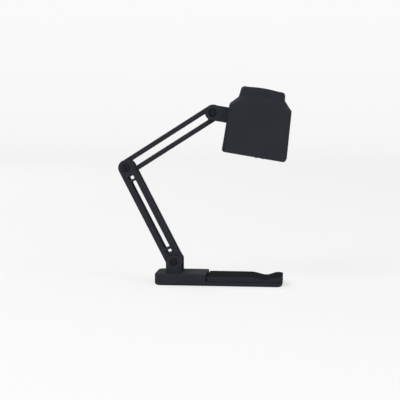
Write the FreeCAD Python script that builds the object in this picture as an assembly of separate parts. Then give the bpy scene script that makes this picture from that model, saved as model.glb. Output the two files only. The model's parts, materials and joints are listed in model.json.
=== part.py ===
import FreeCAD, Part
import math
import os

# A folding clip-on reading lamp: a spring clip, two slotted arms and a flat-sided bell-shaped head.
# Millimetres. X runs along the clip, Y away from the viewer, Z up.
# The origin is the middle of the clip's underside.

Vector = FreeCAD.Vector
along_x = Vector(1, 0, 0)
along_y = Vector(0, 1, 0)
along_z = Vector(0, 0, 1)

# General fits
overrun = 1.0
same_place = 0.001
pin_fit = 0.05
side_fit = 0.1

# Layers across the arms, counted out from the middle plane
upper_arm_thickness = 4.2
washer_thickness = 0.3
arm_plate_thickness = 3.0
ear_thickness = 2.5
cheek_thickness = 2.6

# Arms
lower_arm_length = 66.0
lower_arm_angle = 117.3
upper_arm_length = 64.6
upper_arm_angle = 32.4
arm_width = 10.1
arm_rounding = 0.5
lower_slot_width = 3.8
upper_slot_width = 4.2
slot_corner = 0.8
window_distance = 7.0
window_length = 2.2
window_corner = 0.4
bridge_width = 1.3
upper_slot_setback = 4.7

# Hinge hardware
pin_radius = 1.25
pin_end = 0.3
washer_radius = 3.8
sleeve_radius = 3.2
screw_head_radius = 2.3
screw_head_height = 1.0
screw_head_rounding = 0.4
screw_slot_width = 0.6
screw_slot_depth = 0.5
recess_fit = 0.25
plate_recess = 0.6
cheek_recess = 1.5
nut_flats = 5.0
nut_height = 1.4

# Clip base
base_length = 80.0
base_width = 24.0
base_corner = 4.0
base_chamfer = 1.0
base_rounding = 0.7
housing_length = 32.4
housing_height = 7.3
lower_jaw_height = 2.6
base_pivot_distance = 11.75
base_pivot_rise = 7.1
ear_width = 9.6
ear_rise = 3.5
ear_corner = 3.0

# Clip jaw
jaw_gap = 0.7
jaw_step = 1.25
jaw_thickness = 1.7
skirt_thickness = 1.6
skirt_clearance = 0.3
dip_start_setback = 21.0
pinch_setback = 10.5
lip_setback = 2.6
jaw_pin_setback = 4.4
jaw_pin_radius = 0.8
stem_thickness = 1.8
stem_reach = 3.0
pocket_wall = 2.5
pocket_floor = 1.5
pocket_cover = 1.0
pocket_room = 0.5
barrel_side_room = 0.3
pin_hold = 1.5

# Jaw spring
spring_turns = 3
spring_points = 16
spring_leg_points = 4
spring_wire_radius = 0.25
spring_pitch = 1.0
spring_room = 6.0
spring_coil_room = 0.3
spring_arm = 1.9
spring_foot = 3.8
spring_clearance = 0.15

# Rubber grip
grip_setback = 4.0
grip_length = 14.0
grip_margin = 2.5
grip_thickness = 0.9
grip_corner = 1.5

# Head, measured from the foot of the shade's back wall
head_tilt = 9.5
neck_root = 4.05
neck_drop = 5.4
neck_height = 9.6
neck_clearance = 0.6
shade_length = 40.4
shade_depth = 21.0
shade_lean = 2.6
shade_wall = 1.4
shade_corner = 2.5
rim_corner = 2.0
bell_axis_offset = 0.6
bell_foot_margin = 2.6
bell_neck_radius = 13.6
bell_hollow = 0.4
bell_rise = 9.2
bell_wall = 2.0
cap_sink = 2.2
top_plate = 1.8

# Cap and push button
cap_offset = 1.3
cap_end_setback = 5.7
cap_side_setback = 2.0
cap_side_flat = 1.0
cap_taper = 0.9
cap_height = 7.0
cap_wall = 1.3
cap_rounding = 2.2
button_end_setback = 4.5
button_side_setback = 3.5
button_side_flat = 0.2
button_proud = 0.6
button_dome_radius = 75.0
button_room = 0.3
button_flange = 1.0
button_travel = 1.0
button_clearance = 0.1
stem_radius = 1.5
stem_depth = 2.5
stem_fit = 0.08

# Switch and its leads
switch_length = 10.0
switch_depth = 8.0
switch_block_length = 7.0
switch_block_depth = 5.0
switch_drop = 0.7
lead_radius = 0.45
lead_spacing = 3.6
lead_offset = 1.6
lead_bow = 1.6
lead_clearance = 0.15

# Light board and reflector
rim_recess = 1.0
dish_depth = 5.2
dish_wall = 0.8
dish_slope = 3.2
dish_corner = 1.2
board_setback = 5.0
board_depth = 12.0
board_thickness = 1.2
post_setback = 7.4
post_radius = 2.0
led_offset = 3.25
led_spacing = 4.2
led_radius = 1.5
led_flange_radius = 1.9
led_flange_height = 1.0
led_length = 5.3
led_stand = 0.9
led_leg_radius = 0.25
led_leg_spacing = 1.27
led_hole_radius = 1.3

# Small fixing screws
fixing_radius = 0.75
fixing_head_radius = 1.4
fixing_head_height = 0.9
fixing_rounding = 0.3
fixing_bite = 3.0
fixing_slot_width = 0.4
fixing_slot_depth = 0.4
neck_screw_spacing = 5.6

# Coin cells, well, contacts and door
cell_radius = 10.0
cell_thickness = 3.2
cell_step_radius = 8.9
cell_step_height = 0.6
cell_count = 2
cell_clearance = 0.3
well_offset = 0.7
well_lift = 0.1
well_headroom = 0.9
well_floor = 1.0
well_wall = 1.1
door_thickness = 1.5
door_ring = 0.8
door_ring_depth = 1.6
door_clearance = 0.3
coin_slot_length = 12.0
coin_slot_width = 1.6
coin_slot_depth = 0.8
contact_width = 3.0
contact_thickness = 0.4
contact_reach = 3.0
contact_tail = 4.1
contact_shelf = 2.2
contact_fit = 0.2

# Places worked out from the sizes above
base_left = -base_length / 2
base_right = base_length / 2
housing_right = base_left + housing_length
base_pivot_height = housing_height + base_pivot_rise
base_pivot = Vector(base_left + base_pivot_distance, 0, base_pivot_height)
arm_end = arm_width / 2
plate_inner = upper_arm_thickness / 2 + washer_thickness
plate_outer = plate_inner + arm_plate_thickness
ear_inner = plate_outer + washer_thickness
ear_outer = ear_inner + ear_thickness
cheek_outer = plate_inner + cheek_thickness
hole_radius = pin_radius + pin_fit
jaw_height = housing_height - jaw_step
jaw_left = housing_right + jaw_gap
jaw_pin_x = housing_right - jaw_pin_setback
pocket_roof = housing_height - pocket_cover
barrel_radius = (pocket_roof - pocket_floor) / 2 - pocket_room
jaw_pin_height = (pocket_roof + pocket_floor) / 2
pocket_half = base_width / 2 - pocket_wall
shade_half = shade_depth / 2
neck_reach = neck_root + neck_clearance + arm_end
reflector_top = dish_depth + dish_wall
board_top = reflector_top + board_thickness
door_inner = shade_half - door_thickness
cells_from = door_inner - cell_count * cell_thickness
well_bottom = cells_from - contact_thickness
bore_radius = cell_radius + cell_clearance
door_radius = bore_radius + door_ring
mouth_radius = door_radius + door_clearance
well_radius = mouth_radius + well_wall
well_centre_height = board_top + well_lift + well_radius
well_centre_distance = shade_length / 2 - well_offset
ceiling = well_centre_height + well_radius + well_headroom
cap_seat_height = ceiling + top_plate
bell_top_height = cap_seat_height + cap_sink
shoulder_height = bell_top_height - bell_rise
bell_axis_distance = shade_length / 2 - bell_axis_offset
bell_foot_radius = shade_length / 2 + bell_foot_margin
neck_rise = shoulder_height - neck_drop
cap_centre_distance = shade_length / 2 - cap_offset
cap_length = shade_length - 2 * cap_end_setback
cap_depth = shade_depth - 2 * cap_side_setback
cap_corner = cap_depth / 2 - cap_side_flat
cap_top_height = cap_seat_height + cap_height
button_length = cap_length - 2 * button_end_setback
button_depth = cap_depth - 2 * button_side_setback
button_corner = button_depth / 2 - button_side_flat
button_top_height = cap_top_height + button_proud
led_drop = led_length - dish_depth + led_stand
led_centre_distance = shade_length / 2 + led_offset
ring_end = door_inner - door_ring_depth
flange_top = cap_top_height - cap_wall
flange_bottom = flange_top - button_flange
switch_top = flange_bottom - button_travel - button_clearance
switch_bottom = ceiling - switch_drop


def from_angle(distance, angle):
    """Step of a given length in the X-Z plane, the angle counted up from +X."""
    turn = math.radians(angle)
    return Vector(distance * math.cos(turn), 0, distance * math.sin(turn))


elbow = base_pivot + from_angle(lower_arm_length, lower_arm_angle)
wrist = elbow + from_angle(upper_arm_length, upper_arm_angle)


# Drawing helpers
def side_point(u, v):
    """Point of the X-Z plane."""
    return Vector(u, 0, v)


def plan_point(u, v):
    """Point of the X-Y plane."""
    return Vector(u, v, 0)


def outline(corners, lift):
    """Closed wire through (u, v, radius) corners, each rounded by an arc of its radius."""
    starts, ends, edges = [], [], []
    for place, (u, v, radius) in enumerate(corners):
        corner = lift(u, v)
        before = lift(*corners[place - 1][:2]) - corner
        after = lift(*corners[(place + 1) % len(corners)][:2]) - corner
        if radius == 0:
            starts.append(corner)
            ends.append(corner)
            continue
        half = before.getAngle(after) / 2
        before.normalize()
        after.normalize()
        middle = before + after
        middle.normalize()
        starts.append(corner + before * (radius / math.tan(half)))
        ends.append(corner + after * (radius / math.tan(half)))
        top = corner + middle * (radius / math.sin(half) - radius)
        edges.append(Part.Arc(starts[-1], top, ends[-1]).toShape())
    for place, end in enumerate(ends):
        start = starts[(place + 1) % len(starts)]
        if end.distanceToPoint(start) > same_place:
            edges.append(Part.makeLine(end, start))
    return Part.Wire(Part.__sortEdges__(edges))


def box_outline(u_from, u_to, v_from, v_to, radius, lift):
    """Rectangle with four equal corners."""
    corners = ((u_from, v_from), (u_to, v_from), (u_to, v_to), (u_from, v_to))
    return outline([(u, v, radius) for u, v in corners], lift)


def slab(wire, y_from, y_to):
    """Solid between two depths from an outline in the X-Z plane."""
    face = Part.Face(wire)
    face.translate(along_y * y_from)
    return face.extrude(along_y * (y_to - y_from))


def block(x_from, x_to, y_from, y_to, z_from, z_to):
    """Plain box between two corners."""
    return Part.makeBox(x_to - x_from, y_to - y_from, z_to - z_from, Vector(x_from, y_from, z_from))


def column(x_from, x_to, half_depth, radius, z_from, z_to):
    """Upright solid with a rounded rectangle as its plan, centred on the middle plane."""
    face = Part.Face(box_outline(x_from, x_to, -half_depth, half_depth, radius, plan_point))
    face.translate(along_z * z_from)
    return face.extrude(along_z * (z_to - z_from))


def tapered(lower, upper):
    """Solid between two plans, each given as (x_from, x_to, half_depth, radius, height)."""
    wires = []
    for x_from, x_to, half_depth, radius, height in (lower, upper):
        wire = box_outline(x_from, x_to, -half_depth, half_depth, radius, plan_point)
        wire.translate(along_z * height)
        wires.append(wire)
    return Part.makeLoft(wires, True, True)


def rod(centre, radius, y_from, y_to):
    """Cylinder along Y through a point of the middle plane."""
    return Part.makeCylinder(radius, y_to - y_from, centre + along_y * y_from, along_y)


def tube(centre, outer, inner, y_from, y_to):
    """Ring along Y."""
    bore = rod(centre, inner, y_from - overrun, y_to + overrun)
    return rod(centre, outer, y_from, y_to).cut(bore)


def soften(shape, radius, chosen):
    """Round every edge that the test picks."""
    return shape.makeFillet(radius, [edge for edge in shape.Edges if chosen(edge)])


def at_depth(*depths):
    """Test for edges that lie in one of these planes across Y."""

    def chosen(edge):
        box = edge.BoundBox
        return any(abs(box.YMin - y) < same_place and abs(box.YMax - y) < same_place for y in depths)

    return chosen


def at_height(*heights):
    """Test for edges that lie in one of these level planes."""

    def chosen(edge):
        box = edge.BoundBox
        return any(abs(box.ZMin - z) < same_place and abs(box.ZMax - z) < same_place for z in heights)

    return chosen


def screw(seat, way, head, shank, rounding, slot):
    """Slotted screw: (radius, height) head behind its seat and (radius, reach) shank along the way."""
    back = seat - way * head[1]
    top = Part.makeCylinder(head[0], head[1], back, way)
    rings = [edge for edge in top.Edges if edge.Closed]
    rim = [edge for edge in rings if edge.CenterOfMass.distanceToPoint(back) < same_place]
    top = top.makeFillet(rounding, rim)
    width, depth = slot
    across = along_y if abs(way.dot(along_y)) < same_place else along_z
    third = way.cross(across)
    corner = back - across * (width / 2) - third * (head[0] + overrun) - way * overrun
    groove = Part.makePolygon([
        corner, corner + across * width, corner + across * width + third * (2 * (head[0] + overrun)),
        corner + third * (2 * (head[0] + overrun)), corner])
    groove = Part.Face(groove).extrude(way * (overrun + depth))
    body = Part.makeCylinder(shank[0], shank[1], seat, way)
    return top.fuse(body).cut(groove).removeSplitter()


def hinge_screw(centre, seat, end):
    """Hinge screw with its head towards the viewer."""
    head = (screw_head_radius, screw_head_height)
    slot = (screw_slot_width, screw_slot_depth)
    return screw(centre + along_y * seat, along_y, head, (pin_radius, end - seat), screw_head_rounding, slot)


def hexagon(centre, flats):
    """Six-sided wire round a point of the middle plane."""
    reach = flats / 2 / math.cos(math.pi / 6)
    points = [centre + from_angle(reach, 60 * step) for step in range(7)]
    return Part.makePolygon(points)


def nut(centre, y_from):
    """Hexagon nut standing on the plane y_from."""
    solid = slab(hexagon(centre, nut_flats), y_from, y_from + nut_height)
    return solid.cut(rod(centre, hole_radius, y_from - overrun, y_from + nut_height + overrun))


def nut_pocket(centre, y_from):
    """Hexagon pocket that opens away from the viewer."""
    return slab(hexagon(centre, nut_flats + 2 * side_fit), y_from, y_from + nut_height + overrun)


def washer_pair(centre, y_from):
    """Two friction washers, mirrored about the middle plane."""
    ring = tube(centre, washer_radius, hole_radius, y_from, y_from + washer_thickness)
    return Part.makeCompound([ring, ring.mirror(Vector(0, 0, 0), along_y)])


def posed(shape, pivot, angle):
    """Turn a piece drawn along +X up by an angle and carry its first pivot into place."""
    shape = shape.copy()
    shape.rotate(Vector(0, 0, 0), along_y, -angle)
    shape.translate(pivot)
    return shape


def save(name, shape):
    """Write one node."""
    shape.exportStep("parts/" + name + ".step")


# Clip base
def base_plan(z_from, z_to):
    """Rounded plan of the clip."""
    return column(base_left, base_right, base_width / 2, base_corner, z_from, z_to)


def base_housing():
    """Housing, lower jaw and knuckle ears in one moulding."""
    body = slab(outline((
        (base_left, 0, 0), (base_right, 0, 0), (base_right, lower_jaw_height, 0),
        (housing_right, lower_jaw_height, 0), (housing_right, housing_height, 0),
        (base_left, housing_height, 0)), side_point), -base_width / 2, base_width / 2)
    body = body.common(base_plan(0, housing_height))
    foot = [edge for edge in body.Edges if at_height(0)(edge)]
    body = body.makeChamfer(base_chamfer, foot)
    body = soften(body, base_rounding, at_height(housing_height))
    half = ear_width / 2
    x = base_pivot.x
    ear = outline((
        (x - half, housing_height - base_rounding, 0), (x + half, housing_height - base_rounding, 0),
        (x + half, base_pivot_height + ear_rise, ear_corner),
        (x - half, base_pivot_height + ear_rise, ear_corner)), side_point)
    for y_from in (-ear_outer, ear_inner):
        side = slab(ear, y_from, y_from + ear_thickness)
        side = soften(side, arm_rounding, at_depth(y_from if y_from < 0 else ear_outer))
        body = body.fuse(side)
    pin = Vector(base_pivot.x, 0, base_pivot.z)
    body = body.cut(rod(pin, hole_radius, -base_width, base_width))
    body = body.cut(rod(pin, screw_head_radius + recess_fit, -base_width, plate_recess - ear_outer))
    body = body.cut(nut_pocket(pin, ear_outer - plate_recess))
    pocket = outline((
        (jaw_pin_x - barrel_radius - pocket_room, pocket_floor, 0),
        (housing_right + overrun, pocket_floor, 0),
        (housing_right + overrun, pocket_roof, 0),
        (jaw_pin_x - barrel_radius - pocket_room, pocket_roof, 0)), side_point)
    lower_jaw = block(housing_right, base_right, -base_width, base_width, 0, lower_jaw_height)
    body = body.cut(slab(pocket, -pocket_half, pocket_half).cut(lower_jaw))
    jaw_axis = side_point(jaw_pin_x, jaw_pin_height)
    body = body.cut(rod(jaw_axis, jaw_pin_radius + pin_fit, -pocket_half - pin_hold, base_width))
    return body.cut(grip(overrun)).removeSplitter()


def grip(extra):
    """Rubber pad let flush into the lower jaw, with extra height where it serves as its own pocket."""
    right = base_right - grip_setback
    half = base_width / 2 - grip_margin
    floor = lower_jaw_height - grip_thickness
    return column(right - grip_length, right, half, grip_corner, floor, lower_jaw_height + extra)


def jaw_pin():
    """Steel pin, pressed in from the far side and flush with it."""
    axis = side_point(jaw_pin_x, jaw_pin_height)
    return rod(axis, jaw_pin_radius, -pocket_half - pin_hold, base_width / 2)


def jaw_edge(drop):
    """Long wavy edge of the jaw: level, dipping to the pinch and rising to the lip."""
    low = lower_jaw_height + jaw_thickness
    points = [
        side_point(base_right - dip_start_setback, jaw_height), side_point(base_right - pinch_setback, low),
        side_point(base_right - lip_setback, jaw_height)]
    wave = Part.BSplineCurve()
    reach = (dip_start_setback - pinch_setback) * along_x
    wave.interpolate(Points=points, Tangents=[reach, reach, reach], TangentFlags=[True, True, True])
    edges = [
        Part.makeLine(side_point(jaw_left, jaw_height), points[0]), wave.toShape(),
        Part.makeLine(points[-1], side_point(base_right, jaw_height))]
    for edge in edges:
        edge.translate(along_z * -drop)
    return edges


def jaw_skirt():
    """Side wall under the jaw's level part, from the plate to just above the lower jaw."""
    foot = lower_jaw_height + skirt_clearance
    roof = jaw_height - jaw_thickness / 2
    return outline((
        (jaw_left, foot, 0), (base_right - pinch_setback, foot, 0), (base_right - dip_start_setback, roof, 0),
        (jaw_left, roof, 0)), side_point)


def clip_jaw():
    """Upper jaw: a wavy plate with side skirts, a stem into the housing and a hinge barrel round the pin."""
    ends = [
        Part.makeLine(side_point(x, jaw_height), side_point(x, jaw_height - jaw_thickness))
        for x in (jaw_left, base_right)]
    wire = Part.Wire(Part.__sortEdges__(jaw_edge(0) + jaw_edge(jaw_thickness) + ends))
    plate = slab(wire, -base_width / 2, base_width / 2)
    for y_from in (-base_width / 2, base_width / 2 - skirt_thickness):
        plate = plate.fuse(slab(jaw_skirt(), y_from, y_from + skirt_thickness))
    plate = plate.common(base_plan(0, housing_height))
    axis = side_point(jaw_pin_x, jaw_pin_height)
    half = pocket_half - barrel_side_room
    stem = block(
        jaw_pin_x, jaw_left + stem_reach, -half, half,
        jaw_pin_height - stem_thickness / 2, jaw_pin_height + stem_thickness / 2)
    barrel = rod(axis, barrel_radius, -half, half).fuse(stem)
    reach = barrel_radius + pocket_room
    gap = block(
        jaw_pin_x - reach, jaw_pin_x + reach, -spring_room / 2, spring_room / 2,
        jaw_pin_height - reach, jaw_pin_height + reach)
    barrel = barrel.cut(gap)
    body = plate.fuse(barrel).removeSplitter()
    return body.cut(rod(axis, jaw_pin_radius + pin_fit, -base_width, base_width))


def jaw_spring():
    """Torsion spring: a leg under the housing's roof, a coil round the pin and a leg on the jaw's stem."""
    coil = jaw_pin_radius + spring_coil_room + spring_wire_radius
    length = spring_turns * spring_pitch
    roof = pocket_roof - spring_wire_radius
    stem_top = jaw_pin_height + stem_thickness / 2 + spring_wire_radius + spring_clearance
    points = [Vector(jaw_pin_x - spring_arm, -length / 2, roof)]
    for step in range(spring_turns * spring_points + 1):
        share = step / (spring_turns * spring_points)
        turn = 2 * math.pi * spring_turns * share
        points.append(Vector(
            jaw_pin_x + coil * math.sin(turn), length * (share - 1 / 2),
            jaw_pin_height + coil * math.cos(turn)))
    leg = Vector(jaw_pin_x + spring_foot, length / 2, stem_top) - points[-1]
    last = points[-1]
    for step in range(1, spring_leg_points + 1):
        points.append(last + leg * (step / spring_leg_points))
    return wire_along(points, spring_wire_radius)


def wire_along(points, radius):
    """Round wire along a smooth curve through the points."""
    curve = Part.BSplineCurve()
    curve.interpolate(points)
    way = curve.tangent(curve.FirstParameter)[0]
    ring = Part.Wire(Part.makeCircle(radius, points[0], way))
    return Part.Wire(curve.toShape()).makePipeShell([ring], True, True)


# Arms, drawn along +X from their first pivot
def arm_outline(length):
    """Bar with round ends about both pivots."""
    return box_outline(-arm_end, length + arm_end, -arm_end, arm_end, arm_end, side_point)


def arm_pivots(length):
    """Both ends of an arm."""
    return (side_point(0, 0), side_point(length, 0))


def lower_arm_plate(y_from, y_to, outer):
    """Slotted side plate with a window beyond a bridge at each end."""
    plate = slab(arm_outline(lower_arm_length), y_from, y_to)
    near = window_distance - window_length / 2
    far = window_distance + window_length / 2
    half = lower_slot_width / 2
    spans = (
        (near, far, window_corner),
        (far + bridge_width, lower_arm_length - far - bridge_width, slot_corner),
        (lower_arm_length - far, lower_arm_length - near, window_corner))
    for start, end, corner in spans:
        opening = box_outline(start, end, -half, half, corner, side_point)
        plate = plate.cut(slab(opening, y_from - overrun, y_to + overrun))
    plate = soften(plate, arm_rounding, at_depth(outer))
    for pivot in arm_pivots(lower_arm_length):
        plate = plate.cut(rod(pivot, hole_radius, y_from - overrun, y_to + overrun))
    return plate


def lower_arm_front():
    """Near plate, recessed for the elbow screw's head."""
    plate = lower_arm_plate(-plate_outer, -plate_inner, -plate_outer)
    recess = rod(
        side_point(lower_arm_length, 0), screw_head_radius + recess_fit,
        -plate_outer - overrun, plate_recess - plate_outer)
    return plate.cut(recess)


def lower_arm_back():
    """Far plate with the two cross ties and a pocket for the elbow nut."""
    plate = lower_arm_plate(plate_inner, plate_outer, plate_outer)
    start = window_distance + window_length / 2
    half = lower_slot_width / 2
    for x in (start, lower_arm_length - start - bridge_width):
        plate = plate.fuse(block(x, x + bridge_width, -plate_inner, plate_inner, -half, half))
    plate = plate.cut(nut_pocket(side_point(lower_arm_length, 0), plate_outer - nut_height))
    return plate.removeSplitter()


def upper_arm():
    """Thin slotted arm between two round bosses."""
    half = upper_arm_thickness / 2
    plate = slab(arm_outline(upper_arm_length), -half, half)
    opening = box_outline(
        upper_slot_setback, upper_arm_length - upper_slot_setback,
        -upper_slot_width / 2, upper_slot_width / 2, slot_corner, side_point)
    plate = plate.cut(slab(opening, -half - overrun, half + overrun))
    plate = soften(plate, arm_rounding, at_depth(-half, half))
    for pivot in arm_pivots(upper_arm_length):
        plate = plate.cut(rod(pivot, hole_radius, -half - overrun, half + overrun))
    return plate


# Head, drawn upright from the foot of the shade's back wall
wrist_axis = side_point(-neck_reach, neck_rise)


def neck_fork():
    """Two cheeks and a root that is screwed to the shade's back wall."""
    half = neck_height / 2
    body = slab(outline((
        (-neck_reach - half, neck_rise - half, half), (0, neck_rise - half, 0),
        (0, neck_rise + half, 0), (-neck_reach - half, neck_rise + half, half)), side_point),
        -cheek_outer, cheek_outer)
    body = soften(body, arm_rounding, at_depth(-cheek_outer, cheek_outer))
    slot = block(
        -neck_reach - half - overrun, -neck_root, -plate_inner, plate_inner,
        neck_rise - half - overrun, neck_rise + half + overrun)
    body = body.cut(slot)
    body = body.cut(rod(wrist_axis, hole_radius, -cheek_outer - overrun, cheek_outer + overrun))
    body = body.cut(rod(
        wrist_axis, screw_head_radius + recess_fit, -cheek_outer - overrun, cheek_recess - cheek_outer))
    body = body.cut(nut_pocket(wrist_axis, cheek_outer - nut_height))
    for hole in neck_screw_places():
        body = body.cut(Part.makeCylinder(fixing_radius + pin_fit, fixing_bite, hole, -along_x))
    return body


def neck_screw_places():
    """Points of the wall's outer face where the neck screws pass."""
    return [side_point(0, neck_rise + way * neck_screw_spacing / 2) for way in (-1, 1)]


def fixing_screw(seat, way, reach):
    """Small slotted screw."""
    head = (fixing_head_radius, fixing_head_height)
    slot = (fixing_slot_width, fixing_slot_depth)
    return screw(seat, way, head, (fixing_radius, reach), fixing_rounding, slot)


def neck_screws():
    """Two screws through the back wall into the neck."""
    return Part.makeCompound([
        fixing_screw(place + along_x * shade_wall, -along_x, shade_wall + fixing_bite)
        for place in neck_screw_places()])


def bell(drop):
    """Revolved bell with a hollow shoulder, its curve let down by a drop."""
    foot = side_point(bell_foot_radius, shoulder_height - drop)
    top = side_point(bell_neck_radius, bell_top_height - drop)
    out = (top - foot).cross(along_y)
    out.normalize()
    crown = (foot + top) / 2 + out * bell_hollow
    floor = side_point(bell_foot_radius, -overrun)
    edges = [
        Part.makeLine(side_point(0, floor.z), floor),
        Part.makeLine(floor, foot),
        Part.Arc(foot, crown, top).toShape(),
        Part.makeLine(top, side_point(0, top.z)),
        Part.makeLine(side_point(0, top.z), side_point(0, floor.z))]
    turned = Part.Face(Part.Wire(edges)).revolve(Vector(0, 0, 0), along_z, 360)
    turned.translate(along_x * bell_axis_distance)
    return turned


def shade_outside():
    """Flat-sided bell whose front leans back towards the top."""
    side = outline((
        (0, 0, rim_corner), (shade_length, 0, rim_corner),
        (shade_length - shade_lean, bell_top_height, 0), (0, bell_top_height, 0)), side_point)
    body = slab(side, -shade_half, shade_half)
    body = body.common(tapered(shade_plan(0, 0), shade_plan(bell_top_height, 0)))
    return body.common(bell(0))


def shade_plan(height, inset):
    """Plan of the shade at a height, taken in by an inset."""
    front = shade_length - shade_lean * height / bell_top_height
    return (inset, front - inset, shade_half - inset, shade_corner - inset, height)


def shade_inside():
    """Hollow of the shade, open at the rim and level under the top plate."""
    room = tapered(shade_plan(-overrun, shade_wall), shade_plan(ceiling, shade_wall))
    return room.common(bell(bell_wall))


def post_places():
    """Axes of the two screw posts."""
    return [plan_point(x, 0) for x in (post_setback, shade_length - post_setback)]


def cap_plan(height, inset):
    """Plan of the cap at a height, taken in by an inset."""
    half = cap_length / 2 - inset
    return (
        cap_centre_distance - half, cap_centre_distance + half, cap_depth / 2 - inset,
        cap_corner - inset, height)


well_axis = side_point(well_centre_distance, well_centre_height)


def shade():
    """Shade with screw posts and the well for the coin cells moulded inside it."""
    outside = shade_outside()
    body = outside.cut(shade_inside())
    for place in post_places():
        foot = place + along_z * board_top
        post = Part.makeCylinder(post_radius, cap_seat_height - board_top, foot, along_z)
        body = body.fuse(post.common(outside))
    body = body.fuse(rod(well_axis, well_radius, well_bottom - well_floor, shade_half - shade_wall / 2))
    body = body.cut(rod(well_axis, bore_radius, well_bottom, shade_half + overrun))
    body = body.cut(rod(well_axis, mouth_radius, ring_end, shade_half + overrun))
    seat = tapered(cap_plan(cap_seat_height, -side_fit), cap_plan(cap_top_height, -side_fit))
    body = body.cut(seat)
    body = body.cut(switch_block(side_fit))
    for place in post_places():
        body = body.cut(Part.makeCylinder(
            fixing_radius + pin_fit, fixing_bite, place + along_z * board_top, along_z))
    for place in neck_screw_places():
        body = body.cut(Part.makeCylinder(fixing_radius + pin_fit, 2 * shade_wall, place, along_x))
    body = body.cut(contact_slots())
    return body.removeSplitter()


def shade_cap():
    """Hollow tapered cap with an opening for the button."""
    body = tapered(cap_plan(cap_seat_height, 0), cap_plan(cap_top_height, cap_taper))
    body = soften(body, cap_rounding, at_height(cap_top_height))
    hollow = tapered(cap_plan(cap_seat_height, cap_wall), cap_plan(flange_top, cap_taper + cap_wall))
    return body.cut(hollow).cut(button_column(button_room, flange_top - overrun, button_top_height))


def button_column(extra, z_from, z_to):
    """Upright prism with the button's plan, grown by an extra."""
    half = button_length / 2 + extra
    return column(
        cap_centre_distance - half, cap_centre_distance + half, button_depth / 2 + extra,
        button_corner + extra, z_from, z_to)


def switch_button():
    """Domed button with a flange under the cap and a stem into the switch."""
    dome = Part.makeSphere(button_dome_radius)
    dome.translate(Vector(cap_centre_distance, 0, button_top_height - button_dome_radius))
    body = button_column(0, flange_bottom, button_top_height).common(dome)
    body = body.fuse(button_column(button_flange, flange_bottom, flange_top))
    stem = Part.makeCylinder(
        stem_radius, stem_depth, Vector(cap_centre_distance, 0, flange_bottom - stem_depth), along_z)
    return body.fuse(stem).removeSplitter()


def switch_block(extra):
    """Lower part of the switch, which passes through the top plate."""
    half = switch_block_length / 2 + extra
    depth = switch_block_depth / 2 + extra
    return block(
        cap_centre_distance - half, cap_centre_distance + half, -depth, depth,
        switch_bottom - extra, cap_seat_height + extra)


def switch_body():
    """Push switch on the shade's top plate."""
    half = switch_length / 2
    body = block(
        cap_centre_distance - half, cap_centre_distance + half, -switch_depth / 2, switch_depth / 2,
        cap_seat_height, switch_top)
    body = body.fuse(switch_block(0))
    floor = flange_bottom - stem_depth - button_travel - button_clearance
    bore = Part.makeCylinder(
        stem_radius + stem_fit, switch_top - floor + overrun, Vector(cap_centre_distance, 0, floor), along_z)
    return body.cut(bore).removeSplitter()


def switch_leads():
    """Two wires from the switch down to the light board."""
    leads = []
    for way in (-1, 1):
        x = cap_centre_distance + way * lead_spacing / 2
        middle = (switch_bottom + board_top) / 2
        leads.append(wire_along([
            Vector(x, -lead_offset, switch_bottom - lead_clearance),
            Vector(x, -lead_offset - lead_bow, middle),
            Vector(x, -lead_offset, board_top + lead_clearance)], lead_radius))
    return Part.makeCompound(leads)


def dish_plan(height, inset):
    """Plan of the reflector at a height, taken in from the shade's inner wall."""
    gap = shade_wall + side_fit + inset
    return (gap, shade_length - gap, shade_half - gap, dish_corner, height)


def reflector():
    """White dish with holes for the diodes' legs and the board's screws."""
    body = tapered(dish_plan(rim_recess, 0), dish_plan(reflector_top, dish_slope))
    body = body.cut(tapered(dish_plan(rim_recess, dish_wall), dish_plan(dish_depth, dish_slope + dish_wall)))
    for place in led_places():
        body = body.cut(Part.makeCylinder(led_hole_radius, reflector_top, place, along_z))
    for place in post_places():
        body = body.cut(Part.makeCylinder(fixing_radius + pin_fit, reflector_top, place, along_z))
    return body


def led_places():
    """Axes of the two diodes."""
    return [plan_point(led_centre_distance + way * led_spacing / 2, 0) for way in (-1, 1)]


def leds():
    """Two round-nosed diodes, each on two legs."""
    solids = []
    flange_at = led_length - led_drop
    for place in led_places():
        nose = Part.makeSphere(led_radius, place + along_z * (led_radius - led_drop))
        body = Part.makeCylinder(
            led_radius, led_length - led_radius, place + along_z * (led_radius - led_drop), along_z)
        flange = Part.makeCylinder(
            led_flange_radius, led_flange_height, place + along_z * (flange_at - led_flange_height), along_z)
        solid = nose.fuse(body).fuse(flange)
        for way in (-1, 1):
            foot = place + along_y * (way * led_leg_spacing / 2) + along_z * flange_at
            solid = solid.fuse(Part.makeCylinder(led_leg_radius, reflector_top - flange_at, foot, along_z))
        solids.append(solid.removeSplitter())
    return Part.makeCompound(solids)


def led_board():
    """Light board between the reflector and the posts."""
    body = block(
        board_setback, shade_length - board_setback, -board_depth / 2, board_depth / 2,
        reflector_top, board_top)
    for place in post_places():
        body = body.cut(Part.makeCylinder(fixing_radius + pin_fit, board_top + overrun, place, along_z))
    return body


def board_screws():
    """Two screws up through the reflector and the board into the posts."""
    reach = board_top - dish_depth + fixing_bite
    return Part.makeCompound([
        fixing_screw(place + along_z * dish_depth, along_z, reach) for place in post_places()])


def coin_cells():
    """Two stacked cells, each with a smaller pole."""
    cells = []
    for number in range(cell_count):
        start = cells_from + number * cell_thickness
        pole = rod(well_axis, cell_step_radius, start, start + cell_step_height)
        can = rod(well_axis, cell_radius, start + cell_step_height, start + cell_thickness)
        cells.append(pole.fuse(can))
    return Part.makeCompound(cells)


def contact_profile(points):
    """Metal strip with a bent profile of (y, z) points, as wide as a contact."""
    half = contact_width / 2
    wire = Part.makePolygon([Vector(well_centre_distance - half, y, z) for y, z in points + points[:1]])
    return Part.Face(wire).extrude(along_x * contact_width)


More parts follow.
